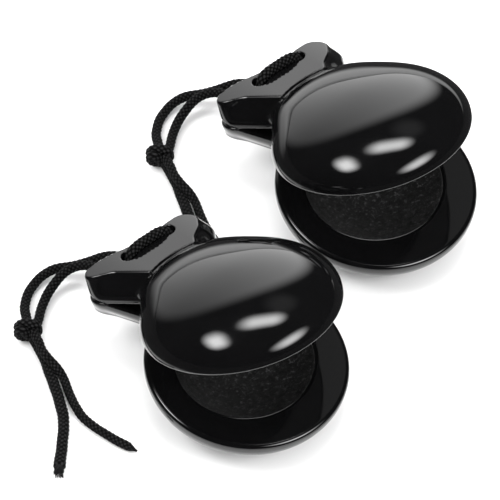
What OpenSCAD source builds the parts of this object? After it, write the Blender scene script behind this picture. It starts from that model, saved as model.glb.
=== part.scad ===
// A pair of castanets. Each one is two hollow shells, laced together through
// their ears by a braided cord that is tied in a knot and ends in two tails.
// Both lie open on their lower shell, as on a table. Millimetres, +Z up.

/* [Shell] */
// Radius of the round body
body_r = 31; // [29:0.5:33]
// Height of the dome above the rim face
dome_h = 17.4; // [16:0.2:19]
// Radius of the rounded rim edge, which is also the height of the widest line
rim_round = 2; // [1:0.25:3]
// Power of the dome's profile: 2 is an ellipse, less is more pointed
dome_power = 1.87; // [1.7:0.01:2.2]
// Size of the neck swelling, as a share of the dome
neck_scale = 0.75; // [0.7:0.01:0.8]
// How far the neck swelling sits towards the ear
neck_shift = 12; // [11:0.2:13]

/* [Cavity] */
// Radius of the hollow's mouth
cavity_r = 21.5; // [18:0.5:23]
// Depth of the hollow
cavity_depth = 9; // [6:0.5:10]
// How far the hollow sits towards the ear
cavity_shift = 1.2; // [0:0.2:3]

/* [Ear] */
// Thickness of the ear
ear_t = 10; // [9:0.5:11]
// Slant of the ear's outer edge, as a share of its width
ear_slant = 0.09; // [0:0.01:0.1]
// Depth of the dip in the middle of the ear's outer edge
ear_dip = 0.8; // [0.4:0.1:1.2]
// Radius of the two cord holes
hole_r = 2.4; // [2.2:0.1:2.8]
// Distance of each cord hole from the middle line
hole_x = 7.6; // [7.2:0.1:8.4]
// Distance of the cord holes from the body's centre
hole_y = 42.4; // [42:0.1:43]

/* [Hinge] */
// Distance from the body's centre to the line that the ears rock on
hinge_y = 41; // [40:0.5:41.5]
// Slope of each ear's inner face beyond that line, in degrees
bevel = 21; // [21:0.5:24]
// Clearance cut from each ear's inner face
relief = 0.2; // [0.15:0.05:0.3]
// Angle between the two rim faces as the castanet lies, in degrees
opening = 28; // [20:0.5:30]
// How far the lower shell is pitched with its ear up, in degrees
pitch = 8.4; // [7:0.2:9]

/* [Cord] */
// Diameter of the braided cord
cord_d = 3; // [2.6:0.1:3]

/* [Pair] */
// Distance from the left castanet to the right one, across
pair_x = 76; // [75:1:80]
// Distance from the left castanet to the right one, towards the ears
pair_y = 27; // [24:1:30]

/* [Hidden] */

SHELL_COLOR = [0.03, 0.03, 0.035];
CORD_COLOR = [0.07, 0.07, 0.075];
ROUND_FN = 128;
HULL_FN = 32;
BIG = 100;

// The ear's outline is a hull of three pairs of discs: [x, y, radius].
EAR_CORNER = [17.9, 44.3, 3.9];
EAR_LOBE = [11.5, 42.7, 5.3];
EAR_NECK = [8.9, 29, 3.2];
EAR_LAYER_H = 0.01;
// Each layer of the ear: [height, how far its discs shrink, how far its sides draw in].
EAR_LAYERS = [
    [0, 0.4, 0],
    [3, 0, 0.2],
    [ear_t - 1.2, 0.2, 1.9],
    [ear_t - 0.4, 0.6, 2.2],
    [ear_t - EAR_LAYER_H, 1.2, 2.4]
];
ear_middle = EAR_CORNER[1] + EAR_CORNER[2];
ear_end = ear_middle + ear_slant * EAR_CORNER[0];
DIP_R = 26;
RELIEF_START = 33;

// Where the cord ends inside a hole, above the rim face, and the top of its arch.
CORD_HOLE_END = 1.6;
ARCH_TOP = ear_t + 2.9;
CORD_SIDES = 8;

// Free routes of the cord, from the lower ear's underside to the knot and from
// the knot to the tails' ends. Row axes, measured from under the body's centre,
// with Z from the table.
STRAND_A_ROUTE = [
    [7.5, 47.5, 10.4], [6.2, 56, 9.2], [2, 64.8, 8], [-6.5, 70.8, 5], [-13.5, 76, 2.8],
    [-21.3, 75.2, 1.8], [-27.5, 71, 1.8], [-30.8, 66.2, 2.6], [-32.6, 63.6, 3.4]
];
STRAND_B_ROUTE = [
    [-7.6, 47.5, 10.8], [-6.4, 57, 9.8], [-6.2, 65.5, 9], [-10.5, 69.8, 7],
    [-17, 69.8, 4.6], [-23.5, 67.3, 2.6], [-28, 63.8, 2.6], [-31, 61.6, 3.2]
];
TAIL_A_ROUTE = [
    [-34.9, 60, 2.6], [-36.2, 52, 1.6], [-39.8, 44, 1.6], [-43.4, 36.5, 1.6],
    [-47.8, 29, 1.6], [-54, 22.3, 1.6], [-60.5, 16, 1.6]
];
TAIL_B_ROUTE = [
    [-31.3, 59.2, 2.2], [-32, 52, 1.6], [-36.2, 43.5, 1.6], [-40.2, 35, 1.6],
    [-42.6, 26, 1.6], [-41.6, 16, 1.6], [-39, 5.5, 1.6]
];
// The knot's lobes: [centre, radius].
KNOT_LOBES = [[[-35, 62.4, 3.5], 3.4], [[-32, 60.4, 3.2], 3.1], [[-31.6, 58.6, 2.2], 2]];

// Half of the shell's profile, from the middle of the rim face to the top.
PROFILE_STEP = 5;
dome_profile = concat(
    [[0, 0]],
    [for (a = [-90:15:-15]) [body_r - rim_round + rim_round * cos(a), rim_round + rim_round * sin(a)]],
    [for (a = [0:PROFILE_STEP:85]) [
        body_r * pow(cos(a), 2 / dome_power),
        rim_round + (dome_h - rim_round) * pow(sin(a), 2 / dome_power)
    ]],
    [[0, dome_h]]
);

// How high the lower shell's centre stands, and the angle of the upper shell.
foot = max([for (p = dome_profile) p[0] * sin(pitch) + p[1] * cos(pitch)]);
top_pitch = opening - pitch;
hinge_row = [0, hinge_y * cos(pitch), foot + hinge_y * sin(pitch)];

// Reach of one castanet along Y, so that the pair is centred on the origin.
reach_low = max([for (p = dome_profile) p[0] * cos(pitch) - p[1] * sin(pitch)]);
reach_high = hinge_row[1] + max([for (e = EAR_LAYERS)
    (ear_end - e[1] - hinge_y) * cos(top_pitch) + e[0] * sin(top_pitch)]);
mid_y = (reach_high - reach_low) / 2;

LEFT = [-pair_x / 2, -pair_y / 2 - mid_y, 0];
RIGHT = [pair_x / 2, pair_y / 2 - mid_y, 0];

// A cord hole's middle line in the lower shell, at a depth below the rim face.
function lower_hole(side, depth) = [
    side * hole_x,
    hole_y * cos(pitch) + depth * sin(pitch),
    foot + hole_y * sin(pitch) - depth * cos(pitch)
];
function strand(side, route) = concat(
    [lower_hole(side, CORD_HOLE_END), lower_hole(side, ear_t)], route
);
bridge_route = [
    [-hole_x, CORD_HOLE_END], [-hole_x, ear_t - 1.5], [-hole_x + 1.8, ARCH_TOP - 1.3],
    [0, ARCH_TOP],
    [hole_x - 1.8, ARCH_TOP - 1.3], [hole_x, ear_t - 1.5], [hole_x, CORD_HOLE_END]
];

function unit(v) = v / norm(v);
function heading(path, i) = unit(path[min(i + 1, len(path) - 1)] - path[max(i - 1, 0)]);
function across(v, dir) = unit(v - (v * dir) * dir);
// One sideways vector for each point of a path, turning no more than the path does.
function sides(path, v, i = 0) = i == len(path) ? [] :
    let (s = across(v, heading(path, i))) concat([s], sides(path, s, i + 1));

// A round tube of the cord's diameter along a path.
module tube(path, v) {
    ends = len(path) - 1;
    side = sides(path, v);
    points = [for (i = [0:ends]) let (up = cross(heading(path, i), side[i]))
        for (k = [0:CORD_SIDES - 1])
            path[i] + cord_d / 2 * (cos(360 * k / CORD_SIDES) * side[i]
                + sin(360 * k / CORD_SIDES) * up)];
    walls = [for (i = [0:ends - 1]) for (k = [0:CORD_SIDES - 1]) let (n = (k + 1) % CORD_SIDES)
        [i * CORD_SIDES + k, (i + 1) * CORD_SIDES + k, (i + 1) * CORD_SIDES + n, i * CORD_SIDES + n]];
    first = [for (k = [0:CORD_SIDES - 1]) k];
    last = [for (k = [CORD_SIDES - 1:-1:0]) ends * CORD_SIDES + k];
    polyhedron(points, concat(walls, [first, last]), convexity = 6);
}

// The dome of revolution that both the body and its neck swelling are made from.
module dome() {
    rotate_extrude($fn = ROUND_FN) polygon(dome_profile);
}

// One disc of the ear's outline, moved along with its slant.
module ear_disc(x, y, z, r) {
    translate([x, y - ear_slant * x, z]) cylinder(h = EAR_LAYER_H, r = r, $fn = HULL_FN);
}

// One layer of the ear's outline.
module ear_layer(z, shrink, draw_in) {
    for (side = [-1, 1]) {
        ear_disc(side * (EAR_CORNER[0] - draw_in), EAR_CORNER[1], z, EAR_CORNER[2] - shrink);
        ear_disc(side * (EAR_LOBE[0] - draw_in), EAR_LOBE[1], z, EAR_LOBE[2] - shrink);
        ear_disc(side * (EAR_NECK[0] - draw_in), EAR_NECK[1], z, EAR_NECK[2] - shrink / 2);
    }
}

module ear() {
    hull() {
        for (e = EAR_LAYERS) ear_layer(e[0], e[1], e[2]);
    }
}

// The hollow: a shallow ball cut from the rim face.
module cavity() {
    ball_r = (cavity_r * cavity_r + cavity_depth * cavity_depth) / (2 * cavity_depth);
    translate([0, cavity_shift, cavity_depth - ball_r]) sphere(r = ball_r, $fn = ROUND_FN);
}

module cord_holes() {
    for (side = [-1, 1])
        translate([side * hole_x, hole_y, -1]) cylinder(h = ear_t + 2, r = hole_r, $fn = ROUND_FN);
}

// The clearance on the ear's inner face, sloping away beyond the hinge line.
module ear_bevel() {
    end = ear_end + 1;
    rotate([90, 0, 90]) linear_extrude(height = BIG, center = true) polygon([
        [RELIEF_START, -1], [end, -1], [end, relief + (end - hinge_y) * tan(bevel)],
        [hinge_y, relief], [RELIEF_START, relief]
    ]);
}

module ear_end_dip() {
    translate([0, ear_middle + DIP_R - ear_dip, -1])
        cylinder(h = ear_t + 2, r = DIP_R, $fn = ROUND_FN);
}

// One shell with its rim face on Z = 0, its dome up and its ear towards +Y.
module shell() {
    difference() {
        union() {
            dome();
            translate([0, neck_shift, 0]) scale(neck_scale) dome();
            ear();
        }
        cavity();
        cord_holes();
        ear_bevel();
        ear_end_dip();
    }
}

// From a shell's own frame to the lower and the upper shell's place.
module lower_place() {
    translate([0, 0, foot]) rotate([pitch, 0, 0]) mirror([0, 0, 1]) children();
}

module upper_place() {
    translate(hinge_row) rotate([-top_pitch, 0, 0]) translate([0, -hinge_y, 0]) children();
}

module bottom_shell() {
    color(SHELL_COLOR) lower_place() shell();
}

module top_shell() {
    color(SHELL_COLOR) upper_place() shell();
}

// The short arch of cord over the upper ear, from hole to hole.
module cord_bridge() {
    path = [for (p = bridge_route) [p[0], hole_y, p[1]]];
    color(CORD_COLOR) upper_place() tube(path, [0, 1, 0]);
}

module cord_strand(side, route) {
    color(CORD_COLOR) tube(strand(side, route), [1, 0, 0]);
}

module cord_knot() {
    color(CORD_COLOR) hull() {
        for (lobe = KNOT_LOBES) translate(lobe[0]) sphere(r = lobe[1], $fn = HULL_FN);
    }
}

module cord_tail(route) {
    color(CORD_COLOR) tube(route, [0, 0, 1]);
}

translate(LEFT) bottom_shell();  // left_bottom_shell
translate(LEFT) top_shell();  // left_top_shell
translate(LEFT) cord_bridge();  // left_cord_bridge
translate(LEFT) cord_strand(1, STRAND_A_ROUTE);  // left_cord_strand_a
translate(LEFT) cord_strand(-1, STRAND_B_ROUTE);  // left_cord_strand_b
translate(LEFT) cord_knot();  // left_cord_knot
translate(LEFT) cord_tail(TAIL_A_ROUTE);  // left_cord_tail_a
translate(LEFT) cord_tail(TAIL_B_ROUTE);  // left_cord_tail_b
translate(RIGHT) bottom_shell();  // right_bottom_shell
translate(RIGHT) top_shell();  // right_top_shell
translate(RIGHT) cord_bridge();  // right_cord_bridge
translate(RIGHT) cord_strand(1, STRAND_A_ROUTE);  // right_cord_strand_a
translate(RIGHT) cord_strand(-1, STRAND_B_ROUTE);  // right_cord_strand_b
translate(RIGHT) cord_knot();  // right_cord_knot
translate(RIGHT) cord_tail(TAIL_A_ROUTE);  // right_cord_tail_a
translate(RIGHT) cord_tail(TAIL_B_ROUTE);  // right_cord_tail_b
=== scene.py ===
import math

import bpy
import numpy as np
from mathutils import Matrix, Vector


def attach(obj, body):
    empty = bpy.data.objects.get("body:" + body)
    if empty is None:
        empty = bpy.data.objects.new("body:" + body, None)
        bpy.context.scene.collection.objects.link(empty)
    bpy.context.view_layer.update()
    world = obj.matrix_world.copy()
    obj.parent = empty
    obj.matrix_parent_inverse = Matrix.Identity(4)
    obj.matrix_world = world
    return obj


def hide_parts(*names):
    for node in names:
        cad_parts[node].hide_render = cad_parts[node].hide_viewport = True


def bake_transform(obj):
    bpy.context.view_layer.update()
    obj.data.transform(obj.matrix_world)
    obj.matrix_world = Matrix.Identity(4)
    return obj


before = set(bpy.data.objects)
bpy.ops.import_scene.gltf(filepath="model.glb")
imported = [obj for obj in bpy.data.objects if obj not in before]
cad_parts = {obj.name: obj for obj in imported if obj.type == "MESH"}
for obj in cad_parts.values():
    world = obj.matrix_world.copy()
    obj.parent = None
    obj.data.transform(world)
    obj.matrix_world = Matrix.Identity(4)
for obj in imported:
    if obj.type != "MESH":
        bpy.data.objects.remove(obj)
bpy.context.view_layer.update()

MM = 0.001
rng = np.random.default_rng(7)

# ---------------------------------------------------------------- camera
ELEVATION, AZIMUTH = math.radians(49.2), math.radians(41.2)
PX_PER_MM, FRAME_PX = 3.34, 500
CAMERA_DISTANCE, SENSOR = 2600.0, 36
AIM_RIGHT, AIM_UP = 0.883, 33.3

# Where the CAD has the shells: the lower one's height and tilt, the upper one's tilt, the
# line where the ears rock, and each castanet's place.
FOOT, PITCH, TOP_PITCH = 17.7258, math.radians(8.4), math.radians(19.6)
HINGE_Y = 41.0
HINGE = (0.0, 40.5602, 23.7152)
PLACE = {"left": np.array([-38.0, -24.1204, 0.0]), "right": np.array([38.0, 2.8796, 0.0])}

to_camera = Vector((-math.sin(AZIMUTH) * math.cos(ELEVATION),
                    -math.cos(AZIMUTH) * math.cos(ELEVATION), math.sin(ELEVATION)))
cam_right = Vector((math.cos(AZIMUTH), -math.sin(AZIMUTH), 0))
cam_up = to_camera.cross(cam_right)
aim = Vector(PLACE["left"] + [0, 0, FOOT]) + cam_right * AIM_RIGHT + cam_up * AIM_UP

camera = bpy.data.objects.new("camera", bpy.data.cameras.new("camera"))
bpy.context.scene.collection.objects.link(camera)
camera.data.type = "PERSP"
camera.data.sensor_width = SENSOR
camera.data.lens = SENSOR * CAMERA_DISTANCE * PX_PER_MM / FRAME_PX
camera.data.clip_start, camera.data.clip_end = 0.1, 50
turn = Matrix((cam_right, cam_up, to_camera)).transposed().to_4x4()
camera.matrix_world = Matrix.Translation((aim + to_camera * CAMERA_DISTANCE) * MM) @ turn
bpy.context.scene.camera = camera


# ---------------------------------------------------------------- frames, in mm
def lower(x, y, w):
    """A point of the lower shell's frame in the castanet's frame. w goes down."""
    c, s = math.cos(PITCH), math.sin(PITCH)
    return np.stack(np.broadcast_arrays(x, y * c + w * s, FOOT + y * s - w * c), -1)


def upper(x, y, w):
    """A point of the upper shell's frame in the castanet's frame. w goes up."""
    c, s = math.cos(TOP_PITCH), math.sin(TOP_PITCH)
    y = y - HINGE_Y
    return np.stack(np.broadcast_arrays(x, HINGE[1] + y * c + w * s,
                                        HINGE[2] - y * s + w * c), -1)


def smooth(t):
    """A soft step from 0 to 1."""
    t = np.clip(t, 0, 1)
    return t * t * (3 - 2 * t)


def new_mesh(name, verts, faces, normals=None):
    """One piece from points in mm."""
    mesh = bpy.data.meshes.new(name)
    mesh.from_pydata((np.asarray(verts) * MM).tolist(), [], [tuple(map(int, f)) for f in faces])
    mesh.shade_smooth()
    if normals is not None:
        mesh.normals_split_custom_set_from_vertices(np.asarray(normals).tolist())
    obj = bpy.data.objects.new(name, mesh)
    bpy.context.scene.collection.objects.link(obj)
    return obj


def add_attribute(obj, name, kind, values):
    layer = obj.data.attributes.new(name, kind, "POINT")
    field = "vector" if kind == "FLOAT_VECTOR" else "value"
    layer.data.foreach_set(field, np.asarray(values, dtype=np.float32).ravel())


# ---------------------------------------------------------------- braided cord
CORD_D, CORD_R = 3.0, 1.5
KNOT_R, TAIL_A_R, TAIL_B_R = 1.55, 1.74, 1.4
TAIL_A_LIES_AT = 1.8  # tail a is thicker towards its end
CORD_SIDES, CORD_STEP = 32, 0.25
BRAID_STRANDS, BRAID_PITCH, BRAID_DEPTH = 6, 9.4, 0.3
KNOT_MIDDLE, KNOT_ACROSS, KNOT_UP, KNOT_PITCH = (-34.2, 61.5, 4.0), 2.9, 2.3, 2.6
KNOT_TURNS = 1.12
FRAY_COUNT, FRAY_LENGTH, FRAY_SPREAD, FRAY_R, FRAY_ROOT = 90, 3.0, 0.35, 1.25, 1.2
FIBRE_SIDES, FIBRE_STEP = 6, 0.45
HOLE_X, HOLE_Y, EAR_T = 7.6, 42.4, 10.0

# The free routes, as in the CAD: lower ear to knot, and knot to the tails' ends.
STRAND_A = [[7.5, 47.5, 10.4], [6.2, 56, 9.2], [2, 64.8, 8], [-6.5, 70.8, 5], [-13.5, 76, 2.8],
            [-21.3, 75.2, 1.8], [-27.5, 71, 1.8], [-30.8, 66.2, 2.6], [-32.6, 63.6, 3.4]]
STRAND_B = [[-7.6, 47.5, 10.8], [-6.4, 57, 9.8], [-6.2, 65.5, 9], [-10.5, 69.8, 7],
            [-17, 69.8, 4.6], [-23.5, 67.3, 2.6], [-28, 63.8, 2.6], [-31, 61.6, 3.2]]
TAIL_A = [[-34.1, 59.4, 2.4], [-36.2, 52, 1.6], [-39.8, 44, 1.6], [-43.4, 36.5, 1.6],
          [-47.8, 29, 1.6], [-54, 22.3, 1.6], [-60.5, 16, 1.6]]
TAIL_B = [[-34.1, 58.7, 4.9], [-35.3, 55.1, 5.1], [-36.7, 51.6, 5.1], [-37.3, 48.0, 4.9],
          [-37.1, 44.8, 3.9], [-37.6, 40.8, 2.3], [-40, 35, 1.6], [-42.6, 26, 1.6],
          [-41.6, 16, 1.6], [-39, 5.5, 1.6]]


def spline(points, step):
    """A smooth curve through the points, in even steps."""
    p = np.asarray(points, float)
    p = np.vstack([2 * p[0] - p[1], p, 2 * p[-1] - p[-2]])
    out = []
    for i in range(1, len(p) - 2):
        t = [0.0]
        for a, b in zip(p[i - 1:i + 2], p[i:i + 3]):
            t.append(t[-1] + max(np.linalg.norm(b - a), 1e-6) ** 0.5)
        for u in np.linspace(t[1], t[2], 40, endpoint=False):
            a = [(t[k + 1] - u) / (t[k + 1] - t[k]) * p[i - 1 + k]
                 + (u - t[k]) / (t[k + 1] - t[k]) * p[i + k] for k in range(3)]
            b = [(t[k + 2] - u) / (t[k + 2] - t[k]) * a[k]
                 + (u - t[k]) / (t[k + 2] - t[k]) * a[k + 1] for k in range(2)]
            out.append((t[2] - u) / (t[2] - t[1]) * b[0] + (u - t[1]) / (t[2] - t[1]) * b[1])
    out.append(p[-2])
    return resample(np.array(out), step)


def resample(line, step):
    """The same line in even steps of about that length."""
    run = np.concatenate([[0], np.cumsum(np.linalg.norm(np.diff(line, axis=0), axis=1))])
    n = max(int(round(run[-1] / step)), 4)
    at = np.linspace(0, run[-1], n + 1)
    return np.stack([np.interp(at, run, line[:, k]) for k in range(3)], -1)


def rings(line):
    """Two sideways vectors for each point of a line, turning no more than the line does."""
    d = np.gradient(line, axis=0)
    d /= np.linalg.norm(d, axis=1)[:, None]
    side = np.zeros_like(line)
    v = np.array([0.0, 0.0, 1.0])
    for i, t in enumerate(d):
        v = v - (v @ t) * t
        if np.linalg.norm(v) < 1e-3:
            v = np.cross(t, [1, 0, 0]) + 1e-6
        v /= np.linalg.norm(v)
        side[i] = v
    return side, np.cross(d, side), d


def braid_height(s, theta):
    """Height of a diamond braid's surface, from 0 in a groove to 1 on a strand, and the
    place across the strand that lies on top."""
    u = BRAID_STRANDS * (theta / (2 * np.pi) + s / BRAID_PITCH)
    v = BRAID_STRANDS * (theta / (2 * np.pi) - s / BRAID_PITCH)
    fu, fv = u - np.floor(u), v - np.floor(v)
    on_u = (np.floor(u) + np.floor(v)) % 2 == 0
    across, along = np.where(on_u, fu, fv), np.where(on_u, fv, fu)
    top = np.sin(np.pi * across) ** 0.7 * np.sin(np.pi * along) ** 0.35
    return top, across + np.where(on_u, 0.0, 2.0)


def tube_points(line, side, up, theta, r):
    """Rings of points round a line, at the distances r."""
    return line[:, None] + r * (np.cos(theta)[..., None] * side[:, None]
                                + np.sin(theta)[..., None] * up[:, None])


def braid(line, radius, profile=None, depth=None):
    """Points, faces and shading values of a braided cord along a line. The profile scales
    its radius and the depth its grooves, both by the way along it and its length."""
    run = np.concatenate([[0], np.cumsum(np.linalg.norm(np.diff(line, axis=0), axis=1))])
    side, up, d = rings(line)
    theta = 2 * np.pi * np.arange(CORD_SIDES) / CORD_SIDES
    s, th = np.meshgrid(run, theta, indexing="ij")
    high, fibre = braid_height(s, th)
    scale = np.ones(len(line)) if profile is None else profile(run, run[-1])
    deep = BRAID_DEPTH if depth is None else BRAID_DEPTH * depth(run, run[-1])[:, None]
    waver = 1 + 0.02 * np.sin(s * 0.9 + th) + 0.015 * np.sin(s * 0.37 - 2 * th)
    r = (radius * scale[:, None] * waver + (high - 0.8) * deep)[..., None]
    pts = tube_points(line, side, up, th, r)
    n, k = len(line), CORD_SIDES
    i, j = np.meshgrid(np.arange(n - 1), np.arange(k), indexing="ij")
    nxt = (j + 1) % k
    quads = np.stack([i * k + j, i * k + nxt, (i + 1) * k + nxt, (i + 1) * k + j], -1)
    faces = [tuple(q) for q in quads.reshape(-1, 4)]
    verts = list(pts.reshape(-1, 3))
    high, fibre = [*high.ravel(), 0.5, 0.5], [*fibre.ravel(), 0.5, 0.5]
    for end in (0, n - 1):
        tip = len(verts)
        verts.append(line[end] + (d[end] if end else -d[end]) * 0.35 * radius * scale[end])
        for a in range(k):
            tri = (end * k + a, end * k + (a + 1) % k, tip)
            faces.append(tri if end else tri[::-1])
    return {"v": np.array(verts), "f": faces, "high": np.array(high), "fibre": np.array(fibre)}


def join(parts):
    """Several meshes' points, faces and values as one mesh's."""
    base, out = 0, {"v": [], "f": [], "high": [], "fibre": []}
    for p in parts:
        out["f"] += [tuple(i + base for i in f) for f in p["f"]]
        for key in ("v", "high", "fibre"):
            out[key].append(p[key])
        base += len(p["v"])
    for key in ("v", "high", "fibre"):
        out[key] = np.concatenate(out[key])
    return out


def cord_piece(name, parts, place):
    """One piece of cord, with the values that its material reads."""
    m = join(parts)
    obj = new_mesh(name, m["v"] + place, m["f"])
    add_attribute(obj, "high", "FLOAT", m["high"])
    add_attribute(obj, "fibre", "FLOAT", m["fibre"])
    add_attribute(obj, "rest", "FLOAT_VECTOR", m["v"])
    return obj


def fibres(at, heading):
    """Loose filaments that splay out of a cut end."""
    out = []
    k = FIBRE_SIDES
    theta = 2 * np.pi * np.arange(k) / k
    heading = heading / np.linalg.norm(heading)
    a = np.cross(heading, [0, 0, 1])
    a /= np.linalg.norm(a)
    b = np.cross(heading, a)
    for _ in range(FRAY_COUNT):
        ang, rad = rng.uniform(0, 2 * np.pi), FRAY_R * math.sqrt(rng.uniform(0, 1))
        off = math.cos(ang) * a + math.sin(ang) * b
        root = at + off * rad - heading * FRAY_ROOT
        reach = FRAY_LENGTH * rng.uniform(0.6, 1.1)
        bend = rng.normal(0, 0.35, 3)
        line = [root]
        for t in (0.25, 0.5, 0.75, 1.0):
            p = (root + heading * (FRAY_ROOT + reach * t)
                 + off * (FRAY_SPREAD * rad * t ** 1.4) + bend * t * t)
            p[2] = max(p[2], 0.25)
            line.append(p)
        line = spline(line, FIBRE_STEP)
        side, up, _ = rings(line)
        n = len(line)
        taper = np.linspace(1, 0.55, n)[:, None, None] * rng.uniform(0.13, 0.2)
        v = tube_points(line, side, up, theta[None, :], taper).reshape(-1, 3)
        faces = [(i * k + j, i * k + (j + 1) % k, (i + 1) * k + (j + 1) % k, (i + 1) * k + j)
                 for i in range(n - 1) for j in range(k)]
        faces += [tuple(range(k))[::-1], tuple((n - 1) * k + j for j in range(k))]
        out.append({"v": v, "f": faces, "high": np.full(len(v), 0.8),
                    "fibre": np.full(len(v), 0.5)})
    return out


def lower_hole(side, depth):
    """A point on a hole's middle line in the lower ear."""
    return lower(side * HOLE_X, HOLE_Y, depth)


def upper_hole(side, w):
    """A point on a hole's middle line in the upper ear."""
    return upper(side * HOLE_X, HOLE_Y, w)


def lie(line, radius):
    """Nothing goes below the table."""
    line = line.copy()
    line[:, 2] = np.maximum(line[:, 2], radius)
    return line


def rest_on_ear(p):
    """Flattens the lacing where it lies on the upper ear."""
    c, s = math.cos(TOP_PITCH), math.sin(TOP_PITCH)
    y, z = p[:, 1] - HINGE[1], p[:, 2] - HINGE[2]
    along, w = HINGE_Y + y * c - z * s, y * s + z * c
    between = np.abs(p[:, 0]) < HOLE_X - 2.3
    return np.where(between[:, None], upper(p[:, 0], along, np.maximum(w, EAR_T + 0.02)), p)


def resting(radius):
    """How high the middle of a cord of that radius lies on the table."""
    return 1.035 * radius + 0.2 * BRAID_DEPTH + 0.02


def knot_turn(start, end):
    """Points of a turn of cord round the knot's middle."""
    middle = np.array(KNOT_MIDDLE)
    along = np.array([-math.sin(AZIMUTH), -math.cos(AZIMUTH), 0])
    across = np.array([math.cos(AZIMUTH), -math.sin(AZIMUTH), 0])
    out = []
    for share in np.linspace(0, 1, 15):
        a = math.pi * (1 - 2 * KNOT_TURNS * share)
        spot = middle + along * (share - 0.5) * KNOT_PITCH
        out.append(spot + KNOT_ACROSS * math.cos(a) * across
                   + KNOT_UP * math.sin(a) * np.array([0, 0, 1]))
    return [start, *out, end]


def free_cord(name):
    """Hides the CAD's piece for a free stretch of cord."""
    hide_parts(name)


def make_lacing(side):
    """The cord through the four holes, with its arch over the upper ear."""
    lacing = [lower_hole(-1, 8.4), lower_hole(-1, 4.5), lower_hole(-1, 1.5), upper_hole(-1, 1.5),
              upper_hole(-1, 5), upper_hole(-1, 8.6), upper(-6.4, HOLE_Y, 10.4),
              upper(-4, HOLE_Y, 11.1), upper(0, HOLE_Y, 11.25), upper(4, HOLE_Y, 11.1),
              upper(6.4, HOLE_Y, 10.4), upper_hole(1, 8.6), upper_hole(1, 5), upper_hole(1, 1.5),
              lower_hole(1, 1.5), lower_hole(1, 4.5), lower_hole(1, 8.4)]
    line = spline(lacing, CORD_STEP)
    arch = braid(line, CORD_R, profile=lambda r, L: 1 + 0.08 * smooth((9 - abs(r - L / 2)) / 4),
                 depth=lambda r, L: 1 + 0.9 * smooth((9 - abs(r - L / 2)) / 4))
    arch["v"] = rest_on_ear(arch["v"])
    lace = cord_piece(f"{side}_lacing", [arch], PLACE[side])
    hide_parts(f"{side}_cord_bridge")
    return lace


def make_knot(side):
    knot_a = knot_turn(STRAND_A[-1], TAIL_A[0])
    knot_b = [STRAND_B[-1], [-32.2, 61.8, 3.9], [-33, 60.4, 4.1], TAIL_B[0]]
    knot = cord_piece(f"{side}_knot", [
        braid(lie(spline(route, CORD_STEP), resting(r)), r)
        for route, r in ((knot_a, KNOT_R), (knot_b, CORD_R))], PLACE[side])
    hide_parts(f"{side}_cord_knot")
    return knot


def make_cords(side):
    place = PLACE[side]
    lace, knot = make_lacing(side), make_knot(side)
    made = {"lacing": lace, "knot": knot}
    for name, sign, route in (("a", 1, STRAND_A), ("b", -1, STRAND_B)):
        leaves = lower_hole(sign, 10)
        line = lie(spline([lower_hole(sign, 8.2), leaves, *route], CORD_STEP), resting(CORD_R))
        obj = cord_piece(f"{side}_strand_{name}", [braid(line, CORD_R)], place)
        free_cord(f"{side}_cord_strand_{name}")
        made[f"strand_{name}"] = obj

    line = lie(spline(TAIL_A, CORD_STEP), resting(TAIL_A_LIES_AT))
    cut = braid(line, TAIL_A_R, depth=lambda r, L: 1 - 0.6 * smooth((r - L + 2.5) / 2.5),
                profile=lambda r, L: (0.92 + 0.08 * smooth(r / 6)
                                      + 0.1 * smooth((r - L + 5) / 5)))
    made["tail_a"] = cord_piece(f"{side}_tail_a", [cut], place)
    made["fray"] = cord_piece(f"{side}_fray", fibres(line[-1], line[-1] - line[-6]), place)
    free_cord(f"{side}_cord_tail_a")

    line = lie(spline(TAIL_B, CORD_STEP), resting(TAIL_B_R))
    melted = braid(line, TAIL_B_R, depth=lambda r, L: 1 - 0.9 * smooth((r - L + 3.4) / 2.4),
                   profile=lambda r, L: 1 - 0.74 * smooth((r - L + 4.2) / 4.2) ** 1.5)
    made["tail_b"] = cord_piece(f"{side}_tail_b", [melted], place)
    free_cord(f"{side}_cord_tail_b")

    for name, obj in made.items():
        if name != "lacing":
            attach(obj, f"{side}_bottom")
    gap = Vector(tuple((lower(0, HOLE_Y, 0) + place) * MM))
    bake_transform(lace)
    return made


cords = {side: make_cords(side) for side in PLACE}

# ---------------------------------------------------------------- shells
# Millimetres and degrees, in a shell's own frame: rim face on z = 0, ear towards +y.
BODY_R, DOME_H, RIM_R, DOME_POWER = 31.0, 17.4, 2.0, 1.87
NECK_SWELL, RIM_EDGE = 4.0, 1.4
EAR_ROUND, EAR_TOP_R, EAR_SLANT = 4.6, 0.8, 0.09
EAR_PLAN = [(17.5, 43.1), (7.1, 27.0), (-7.1, 27.0), (-17.5, 43.1)]
EAR_DIP_R, EAR_DIP, EAR_END = 24.0, 1.9, 47.7
HOLE_R, HOLE_ROUND = 2.4, 0.4
CAV_R, CAV_DEPTH, CAV_Y, CAV_WIDE, CAV_LONG = 21.5, 9.0, 1.2, 22.1, 21.0
BEVEL, RELIEF, RELIEF_Y = 21.0, 0.05, 33.0
RIDGE, RIDGE_WIDE = 0.13, 1.2
BALL_R = (CAV_R ** 2 + CAV_DEPTH ** 2) / (2 * CAV_DEPTH)
LOBES = {"bottom": 0.5, "top": 1.0}  # how upright the left lobe's end stays
LOW_CORNER, HIGH_CORNER, VOXEL = (-31.9, -31.9, -0.9), (31.9, 49.1, 18.3), 0.5
TURNS, EVENING_TURNS = 9, 6


def both(a, b, r):
    """Intersection of two solids with a rounded edge."""
    return np.minimum(-r, np.maximum(a, b)) + np.hypot(np.maximum(r + a, 0), np.maximum(r + b, 0))


def either(a, b, r):
    """Union of two solids with a rounded crease."""
    return np.maximum(r, np.minimum(a, b)) - np.hypot(np.maximum(r - a, 0), np.maximum(r - b, 0))


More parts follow.
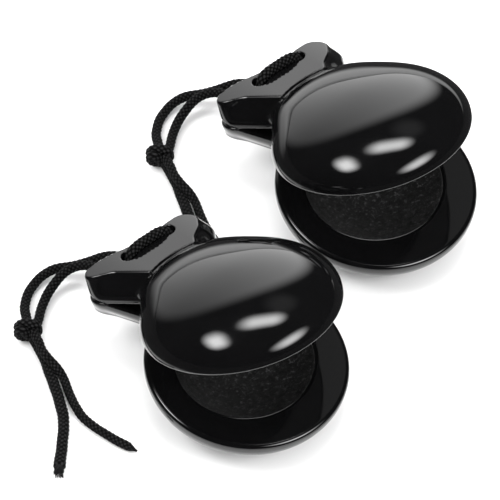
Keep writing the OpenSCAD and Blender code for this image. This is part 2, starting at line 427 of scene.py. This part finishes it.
def polygon_distance(x, y, pts):
    """Distance to a clockwise polygon, negative inside it."""
    d = np.full(x.shape, 1e9)
    inside = np.ones(x.shape, bool)
    for (ax, ay), (bx, by) in zip(pts, pts[1:] + pts[:1]):
        ex, ey = bx - ax, by - ay
        wx, wy = x - ax, y - ay
        t = np.clip((wx * ex + wy * ey) / (ex * ex + ey * ey), 0, 1)
        d = np.minimum(d, np.hypot(wx - ex * t, wy - ey * t))
        inside &= (ex * wy - ey * wx) <= 0
    return np.where(inside, -d, d)


def dome(x, y, z):
    """A round dome that swells out into a neck towards the ear."""
    beside = smooth((np.abs(x) - 6 - 6 * smooth(z / 9)) / 15)
    swell = NECK_SWELL * smooth((y - 4) / 26) * (1 - beside)
    rho = np.hypot(x, y - swell)
    a, b = rho / BODY_R, np.maximum(z - RIM_R, 0) / (DOME_H - RIM_R)
    g = (a ** DOME_POWER + b ** DOME_POWER + 1e-9) ** (1 / DOME_POWER)
    steep = np.hypot((a / g) ** (DOME_POWER - 1) / BODY_R,
                     (b / g) ** (DOME_POWER - 1) / (DOME_H - RIM_R))
    return (g - 1) / np.maximum(steep, 1e-3)


def ear(x, y, z, lobe):
    """A slanted trapezoid with round lobes. Its sides draw in towards its outer face, the
    left lobe's end by the share 1 - lobe, and the outer face falls a little at both ends."""
    y = y + EAR_SLANT * x
    flare = (1 - lobe * smooth((y - 38) / 7) * smooth(-x / 5)
             + 0.5 * smooth((38 - y) / 5) * smooth(x / 5))
    draw = 4.2 * smooth((z - 1.5) / 9) * flare
    plan = polygon_distance(np.abs(x) + draw, y, EAR_PLAN) - EAR_ROUND
    dip = EAR_DIP_R - np.hypot(x, y - (EAR_END + EAR_DIP_R - EAR_DIP))
    crown = EAR_T - 0.0055 * np.maximum(np.abs(x) - 8.5, 0) ** 2
    return both(both(plan, dip, 2.5), z - crown, EAR_TOP_R)


def hollow(x, y, z):
    """The round hollow: a ball, slightly wider than long."""
    return np.sqrt((x * CAV_R / CAV_WIDE) ** 2 + ((y - CAV_Y) * CAV_R / CAV_LONG) ** 2
                   + (z + BALL_R - CAV_DEPTH) ** 2) - BALL_R


def shell(p, lobe):
    """Distance to a shell's surface, in its own frame. A groove parts dome and ear, and the
    ears rock on a low ridge, beyond which their faces slope away."""
    x, y, z = p[..., 0], p[..., 1], p[..., 2]
    body, grip = dome(x, y, z), ear(x, y, z, lobe)
    d = either(body, grip, 0.8 + 2.6 * smooth((z - 1) / 3) * (1 - smooth((z - 4.5) / 4)))
    d = both(d, 0.7 * smooth((z - 7.8) / 1.6) - np.hypot(body, grip), 0.4)
    slope = math.tan(math.radians(BEVEL))
    low = RELIEF * smooth((y - RELIEF_Y + 1) / 2) + slope * np.maximum(y - HINGE_Y, 0)
    low = low - RIDGE * (1 - smooth(np.abs(y - HINGE_Y) / RIDGE_WIDE))
    face = (low - z) / np.where(y > HINGE_Y, math.hypot(1, slope), 1)
    d = both(d, face, RIM_EDGE + (0.8 - RIM_EDGE) * smooth((y - 28) / 6))
    for s in (-1, 1):
        d = both(d, HOLE_R - np.hypot(x - s * HOLE_X, y - HOLE_Y), HOLE_ROUND)
    return both(d, -hollow(x, y, z), 0.5)


def slope_of(f, p, h=0.02):
    return np.stack([f(p + e) - f(p - e) for e in np.eye(3) * h], -1) / (2 * h)


def lengths(v):
    return np.linalg.norm(v, axis=1)[:, None]


def surface(f, low, high, step):
    """Points and quads of the surface f = 0, one point for each grid cell that it crosses."""
    n = np.ceil((np.array(high) - low) / step).astype(int) + 1
    axes = [low[k] + step * np.arange(n[k]) for k in range(3)]
    value = f(np.stack(np.meshgrid(*axes, indexing="ij"), -1))
    cells = tuple(n - 1)
    place = np.stack(np.meshgrid(*[np.arange(m) for m in cells], indexing="ij"), -1)
    total, count = np.zeros(cells + (3,)), np.zeros(cells)
    crossed = []
    for k in range(3):
        a = value.take(range(n[k] - 1), axis=k)
        b = value.take(range(1, n[k]), axis=k)
        cross = (a < 0) != (b < 0)
        t = np.where(cross, a / np.where(cross, a - b, 1), 0)
        crossed.append((cross, a < 0))
        others = [m for m in range(3) if m != k]
        for da in (0, 1):
            for db in (0, 1):
                cut = [slice(None)] * 3
                cut[others[0]] = slice(da, da + n[others[0]] - 1)
                cut[others[1]] = slice(db, db + n[others[1]] - 1)
                c, tt = cross[tuple(cut)], t[tuple(cut)]
                spot = place.astype(float)
                spot[..., k] += tt
                spot[..., others[0]] += da
                spot[..., others[1]] += db
                total += np.where(c[..., None], spot, 0)
                count += c
    used = count > 0
    index = np.full(cells, -1)
    index[used] = np.arange(used.sum())
    points = low + step * (total[used] / count[used][:, None])
    quads = []
    for k in range(3):
        cross, start_in = crossed[k]
        a, b = (k + 1) % 3, (k + 2) % 3
        at = np.argwhere(cross)
        at = at[(at[:, a] > 0) & (at[:, b] > 0) & (at[:, a] < n[a] - 1) & (at[:, b] < n[b] - 1)]
        corner = []
        for da, db in ((-1, -1), (0, -1), (0, 0), (-1, 0)):
            q = at.copy()
            q[:, a] += da
            q[:, b] += db
            corner.append(index[tuple(q.T)])
        quad = np.stack(corner, -1)
        flip = ~start_in[tuple(at.T)]
        quad[flip] = quad[flip][:, ::-1]
        quads.append(quad)
    return points, np.concatenate(quads)


def shell_mesh(f):
    """Points, quads and normals of the surface f = 0, evened out and drawn onto it."""
    points, quads = surface(f, np.array(LOW_CORNER), np.array(HIGH_CORNER), VOXEL)
    edges = np.concatenate([quads[:, [i, (i + 1) % 4]] for i in range(4)])
    for turn in range(TURNS):
        if turn < EVENING_TURNS:
            total, count = np.zeros_like(points), np.zeros(len(points))
            for a, b in ((0, 1), (1, 0)):
                np.add.at(total, edges[:, a], points[edges[:, b]])
                np.add.at(count, edges[:, a], 1)
            pull = total / count[:, None] - points
            g = slope_of(f, points)
            g /= lengths(g) + 1e-9
            pull -= (pull * g).sum(1)[:, None] * g
            points = points + 0.5 * pull
        g = slope_of(f, points)
        square = np.maximum((g * g).sum(1), 0.25)
        move = -(f(points) / square)[:, None] * g
        points = points + np.clip(move, -0.4, 0.4)
    g = slope_of(f, points, 0.05)
    return points, quads, g / (lengths(g) + 1e-9)


made_shells = {level: shell_mesh(lambda p: shell(p, lobe)) for level, lobe in LOBES.items()}


def place_shell(side, level):
    """The lower shell is the upper one's mirror image, so its quads are turned over."""
    p, quads, n = made_shells[level]
    put = lower if level == "bottom" else upper
    at = put(p[:, 0], p[:, 1], p[:, 2])
    zero = put(0.0, 0.0, 0.0)
    turned = put(n[:, 0], n[:, 1], n[:, 2]) - zero
    faces = quads if level == "top" else quads[:, ::-1]
    obj = new_mesh(f"{side}_{level}_body", at + PLACE[side], faces, turned)
    add_attribute(obj, "rest", "FLOAT_VECTOR", p)
    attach(obj, f"{side}_{level}")
    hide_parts(f"{side}_{level}_shell")
    return obj


shells = [place_shell(side, level) for side in PLACE for level in ("bottom", "top")]


# ---------------------------------------------------------------- materials
def nodes_of(name):
    """A new material, its node tree and its shader."""
    mat = bpy.data.materials.new(name)
    mat.use_nodes = True
    tree = mat.node_tree
    return mat, tree, tree.nodes["Principled BSDF"]


def node(tree, kind, inputs=None, **props):
    """A new node, each input a value or another node's output."""
    made = tree.nodes.new(kind)
    for key, value in props.items():
        setattr(made, key, value)
    for key, value in (inputs or {}).items():
        if isinstance(value, bpy.types.NodeSocket):
            tree.links.new(value, made.inputs[key])
        else:
            made.inputs[key].default_value = value
    return made


def math_node(tree, operation, a, b=0.0):
    return node(tree, "ShaderNodeMath", {0: a, 1: b}, operation=operation).outputs[0]


def ramp(tree, value, low, high, start=0.0, end=1.0):
    """A soft step from start to end, as the value goes from low to high."""
    return node(tree, "ShaderNodeMapRange", {"Value": value, "From Min": low, "From Max": high,
                                             "To Min": start, "To Max": end},
                interpolation_type="SMOOTHSTEP").outputs["Result"]


def noise(tree, where, scale, detail=2.0, rough=0.5):
    return node(tree, "ShaderNodeTexNoise", {"Vector": where, "Scale": scale, "Detail": detail,
                                             "Roughness": rough}).outputs["Fac"]


def colour_mix(tree, share, a, b):
    made = node(tree, "ShaderNodeMix", data_type="RGBA")
    tree.links.new(share, made.inputs[0])
    for socket, value in ((made.inputs[6], a), (made.inputs[7], b)):
        if isinstance(value, bpy.types.NodeSocket):
            tree.links.new(value, socket)
        else:
            socket.default_value = (*value, 1)
    return made.outputs[2]


def attribute(tree, name, output="Fac"):
    return node(tree, "ShaderNodeAttribute", attribute_name=name).outputs[output]


def split(tree, vector):
    return node(tree, "ShaderNodeSeparateXYZ", {0: vector}).outputs


def shell_material():
    """Black lacquer, faintly smudged, with a rough, speckled hollow."""
    mat, tree, out = nodes_of("black_gloss")
    rest = attribute(tree, "rest", "Vector")
    x, y, z = split(tree, rest)
    moved = node(tree, "ShaderNodeCombineXYZ", {
        0: math_node(tree, "MULTIPLY", x, CAV_R / CAV_WIDE),
        1: math_node(tree, "MULTIPLY", math_node(tree, "SUBTRACT", y, CAV_Y), CAV_R / CAV_LONG),
        2: math_node(tree, "ADD", z, BALL_R - CAV_DEPTH)}).outputs[0]
    away = node(tree, "ShaderNodeVectorMath", {0: moved}, operation="LENGTH").outputs["Value"]
    in_hollow = math_node(tree, "MULTIPLY", ramp(tree, away, BALL_R + 0.45, BALL_R + 0.15),
                          ramp(tree, z, 0.25, 0.75))
    fuzz = noise(tree, rest, 0.95, 5, 0.8)
    blotch = noise(tree, rest, 0.3, 3, 0.6)
    smudge = noise(tree, rest, 0.09, 3, 0.55)
    fine = noise(tree, rest, 0.8, 2, 0.5)
    gloss = ramp(tree, smudge, 0.3, 0.75, 0.045, 0.085)
    matt = ramp(tree, blotch, 0.3, 0.7, 0.75, 1.0)
    tree.links.new(node(tree, "ShaderNodeMix", {0: in_hollow, 2: gloss, 3: matt},
                        data_type="FLOAT").outputs[0], out.inputs["Roughness"])
    speck = colour_mix(tree, ramp(tree, fuzz, 0.53, 0.66), (0.0002, 0.0002, 0.0002),
                       (0.045, 0.045, 0.046))
    lacquer = colour_mix(tree, smudge, (0.0015, 0.0015, 0.0016), (0.003, 0.003, 0.0032))
    tree.links.new(colour_mix(tree, in_hollow, lacquer, speck), out.inputs["Base Color"])
    orange_peel = node(tree, "ShaderNodeBump",
                       {"Strength": 0.05, "Distance": 0.00002, "Height": fine})
    coarse = math_node(tree, "MULTIPLY", math_node(tree, "ADD", fuzz, blotch), in_hollow)
    grain = node(tree, "ShaderNodeBump", {"Strength": 0.9, "Distance": 0.0006, "Height": coarse,
                                          "Normal": orange_peel.outputs[0]})
    tree.links.new(grain.outputs[0], out.inputs["Normal"])
    out.inputs["Specular IOR Level"].default_value = 0.5
    return mat


def cord_material():
    """Dull black yarn with fine threads on its strands: painted shade in the braid's grooves and
    painted highlights on the strands' tops.
    """
    mat, tree, out = nodes_of("black_braid")
    rest = attribute(tree, "rest", "Vector")
    high, fibre = attribute(tree, "high"), attribute(tree, "fibre")
    fuzz = noise(tree, rest, 3.0, 3, 0.7)
    patch = noise(tree, rest, 0.6, 2, 0.5)
    thread = math_node(tree, "SINE", math_node(tree, "MULTIPLY", fibre, 2 * math.pi * 4))
    thread = math_node(tree, "ADD", math_node(tree, "MULTIPLY", thread, 0.5), 0.5)
    # Painted highlight: the yarn is lighter where the braid stands high, on the strands' tops,
    # varied at random.
    lit = math_node(tree, "MULTIPLY", ramp(tree, high, 0.35, 0.95),
                    ramp(tree, fuzz, 0.25, 0.75, 0.35, 1.0))
    yarn = colour_mix(tree, lit, (0.002, 0.002, 0.002), (0.026, 0.026, 0.0265))
    faded_and_highlit = colour_mix(tree, ramp(tree, patch, 0.4, 0.8, 0.0, 0.5), yarn,
                       (0.003, 0.003, 0.003))
    # Painted shade: the braid's grooves are made near black.
    tree.links.new(colour_mix(tree, ramp(tree, high, 0.35, 0.8), (0.0004, 0.0004, 0.0004), faded_and_highlit),
                   out.inputs["Base Color"])
    tree.links.new(ramp(tree, fuzz, 0.2, 0.8, 0.55, 0.85), out.inputs["Roughness"])
    bumps = math_node(tree, "ADD", math_node(tree, "MULTIPLY", thread, 0.5), fuzz)
    bump = node(tree, "ShaderNodeBump", {"Strength": 0.7, "Distance": 0.00008, "Height": bumps})
    tree.links.new(bump.outputs[0], out.inputs["Normal"])
    out.inputs["Specular IOR Level"].default_value = 0.05
    return mat


gloss_black, braid_black = shell_material(), cord_material()
for obj in shells:
    obj.data.materials.append(gloss_black)
for pieces in cords.values():
    for obj in pieces.values():
        obj.data.materials.append(braid_black)


# ---------------------------------------------------------------- floor and light
def grey(level):
    return (level, level, level)


def floor_material():
    """Pale paper. Its tone in the shells' gloss is a painted reflection: pale close to them and
    behind them, up to a thin dark line at the far end, and dark elsewhere."""
    mat, tree, out = nodes_of("floor_paper")
    where = node(tree, "ShaderNodeTexCoord").outputs["Object"]
    ray = node(tree, "ShaderNodeLightPath").outputs
    x, y, _ = split(tree, where)
    tone = colour_mix(tree, noise(tree, where, 6.0), grey(0.8), grey(0.84))
    beside = math_node(tree, "ADD", x, math_node(tree, "MULTIPLY", y, 0.27))
    right = ramp(tree, beside, 0.04, 0.16)
    kept = math_node(tree, "MAXIMUM", ramp(tree, y, 0.55, 0.75, 1.0, 0.05),
                     math_node(tree, "MULTIPLY", right, 0.7))
    behind = math_node(tree, "MULTIPLY", ramp(tree, y, 0.13, 0.21),
                       ramp(tree, beside, -0.03, 0.07))
    for share in (kept, ramp(tree, y, 0.85, 1.1, 1.0, 0.1)):
        behind = math_node(tree, "MULTIPLY", behind, share)
    # Painted reflection: in glossy rays the floor is pale within about 5 cm of the shells and
    # dark beyond.
    close = colour_mix(tree, ramp(tree, ray["Ray Length"], 0.045, 0.07), grey(0.9), grey(0.025))
    mirrored = colour_mix(tree, behind, close, colour_mix(tree, right, grey(0.28), grey(0.55)))
    tree.links.new(colour_mix(tree, ray["Is Glossy Ray"], tone, mirrored),
                   out.inputs["Base Color"])
    out.inputs["Roughness"].default_value = 0.9
    out.inputs["Specular IOR Level"].default_value = 0.0
    return mat


FLOOR = 4.0  # half its side, in metres
floor = bpy.data.objects.new("floor", bpy.data.meshes.new("floor"))
floor.data.from_pydata([(-FLOOR, -FLOOR, 0), (FLOOR, -FLOOR, 0), (FLOOR, FLOOR, 0),
                        (-FLOOR, FLOOR, 0)], [], [(0, 1, 2, 3)])
bpy.context.scene.collection.objects.link(floor)
floor.data.materials.append(floor_material())

LAMP_CENTRE, LAMP_DISTANCE = Vector((0, -0.01, 0.035)), 1.4


def lamp(name, azimuth, elevation, width, height, radiance, edge, soft=1.0, fade=1.0):
    """A soft box, seen from the castanets at that azimuth, from +Y towards +X, and elevation.
    Its width and height are shares of its distance. Its corners are round and its light
    falls off towards its edges, over the share soft of the share edge of its width and
    height. Its side towards smaller azimuths has the share fade of its light."""
    a, e = math.radians(azimuth), math.radians(elevation)
    away = Vector((math.sin(a) * math.cos(e), math.cos(a) * math.cos(e), math.sin(e)))
    data = bpy.data.lights.new(name, "AREA")
    data.shape = "RECTANGLE"
    data.size, data.size_y = width * LAMP_DISTANCE, height * LAMP_DISTANCE
    data.energy = radiance * math.pi * data.size * data.size_y
    data.use_nodes = True
    tree = data.node_tree
    across = split(tree, node(tree, "ShaderNodeNewGeometry").outputs["Parametric"])
    squares = []
    for k in (0, 1):
        off = math_node(tree, "ABSOLUTE", math_node(tree, "SUBTRACT", across[k], 0.5))
        past = math_node(tree, "MAXIMUM", math_node(tree, "SUBTRACT", off, 0.5 - edge[k]), 0.0)
        squares.append(math_node(tree, "POWER", math_node(tree, "DIVIDE", past, edge[k]), 2.0))
    out = math_node(tree, "SQRT", math_node(tree, "ADD", squares[0], squares[1]))
    level = math_node(tree, "MULTIPLY", ramp(tree, out, 1.0, 1.0 - soft),
                      ramp(tree, across[0], 0, 1, 1, fade))
    tree.links.new(level, tree.nodes["Emission"].inputs["Strength"])
    obj = bpy.data.objects.new(name, data)
    bpy.context.scene.collection.objects.link(obj)
    obj.matrix_world = (Matrix.Translation(LAMP_CENTRE + away * LAMP_DISTANCE)
                        @ away.to_track_quat("Z", "Y").to_matrix().to_4x4())
    obj.visible_camera = False


lamp("back", 22, 16, 1.72, 1.6, 3.0, edge=(0.5, 0.5), soft=0.35, fade=0.2)
lamp("side", -62, 54, 0.64, 0.46, 17, edge=(0.45, 0.45))
lamp("top", 40, 80, 0.78, 0.4, 14, edge=(0.36, 0.48))
lamp("front", 168, 38, 0.98, 0.68, 13, edge=(0.46, 0.46))
lamp("fill", 62, 60, 0.6, 0.5, 0.28, edge=(0.5, 0.5), soft=0.8)

world = bpy.data.worlds.new("studio")
bpy.context.scene.world = world
world.use_nodes = True
tree = world.node_tree
ray = node(tree, "ShaderNodeLightPath").outputs
unseen = colour_mix(tree, ray["Is Glossy Ray"], grey(1.3), grey(0.02))
tree.links.new(colour_mix(tree, ray["Is Camera Ray"], unseen, grey(1.0)),
               tree.nodes["Background"].inputs["Color"])

bpy.context.scene.view_settings.view_transform = "Standard"

bpy.context.view_layer.update()
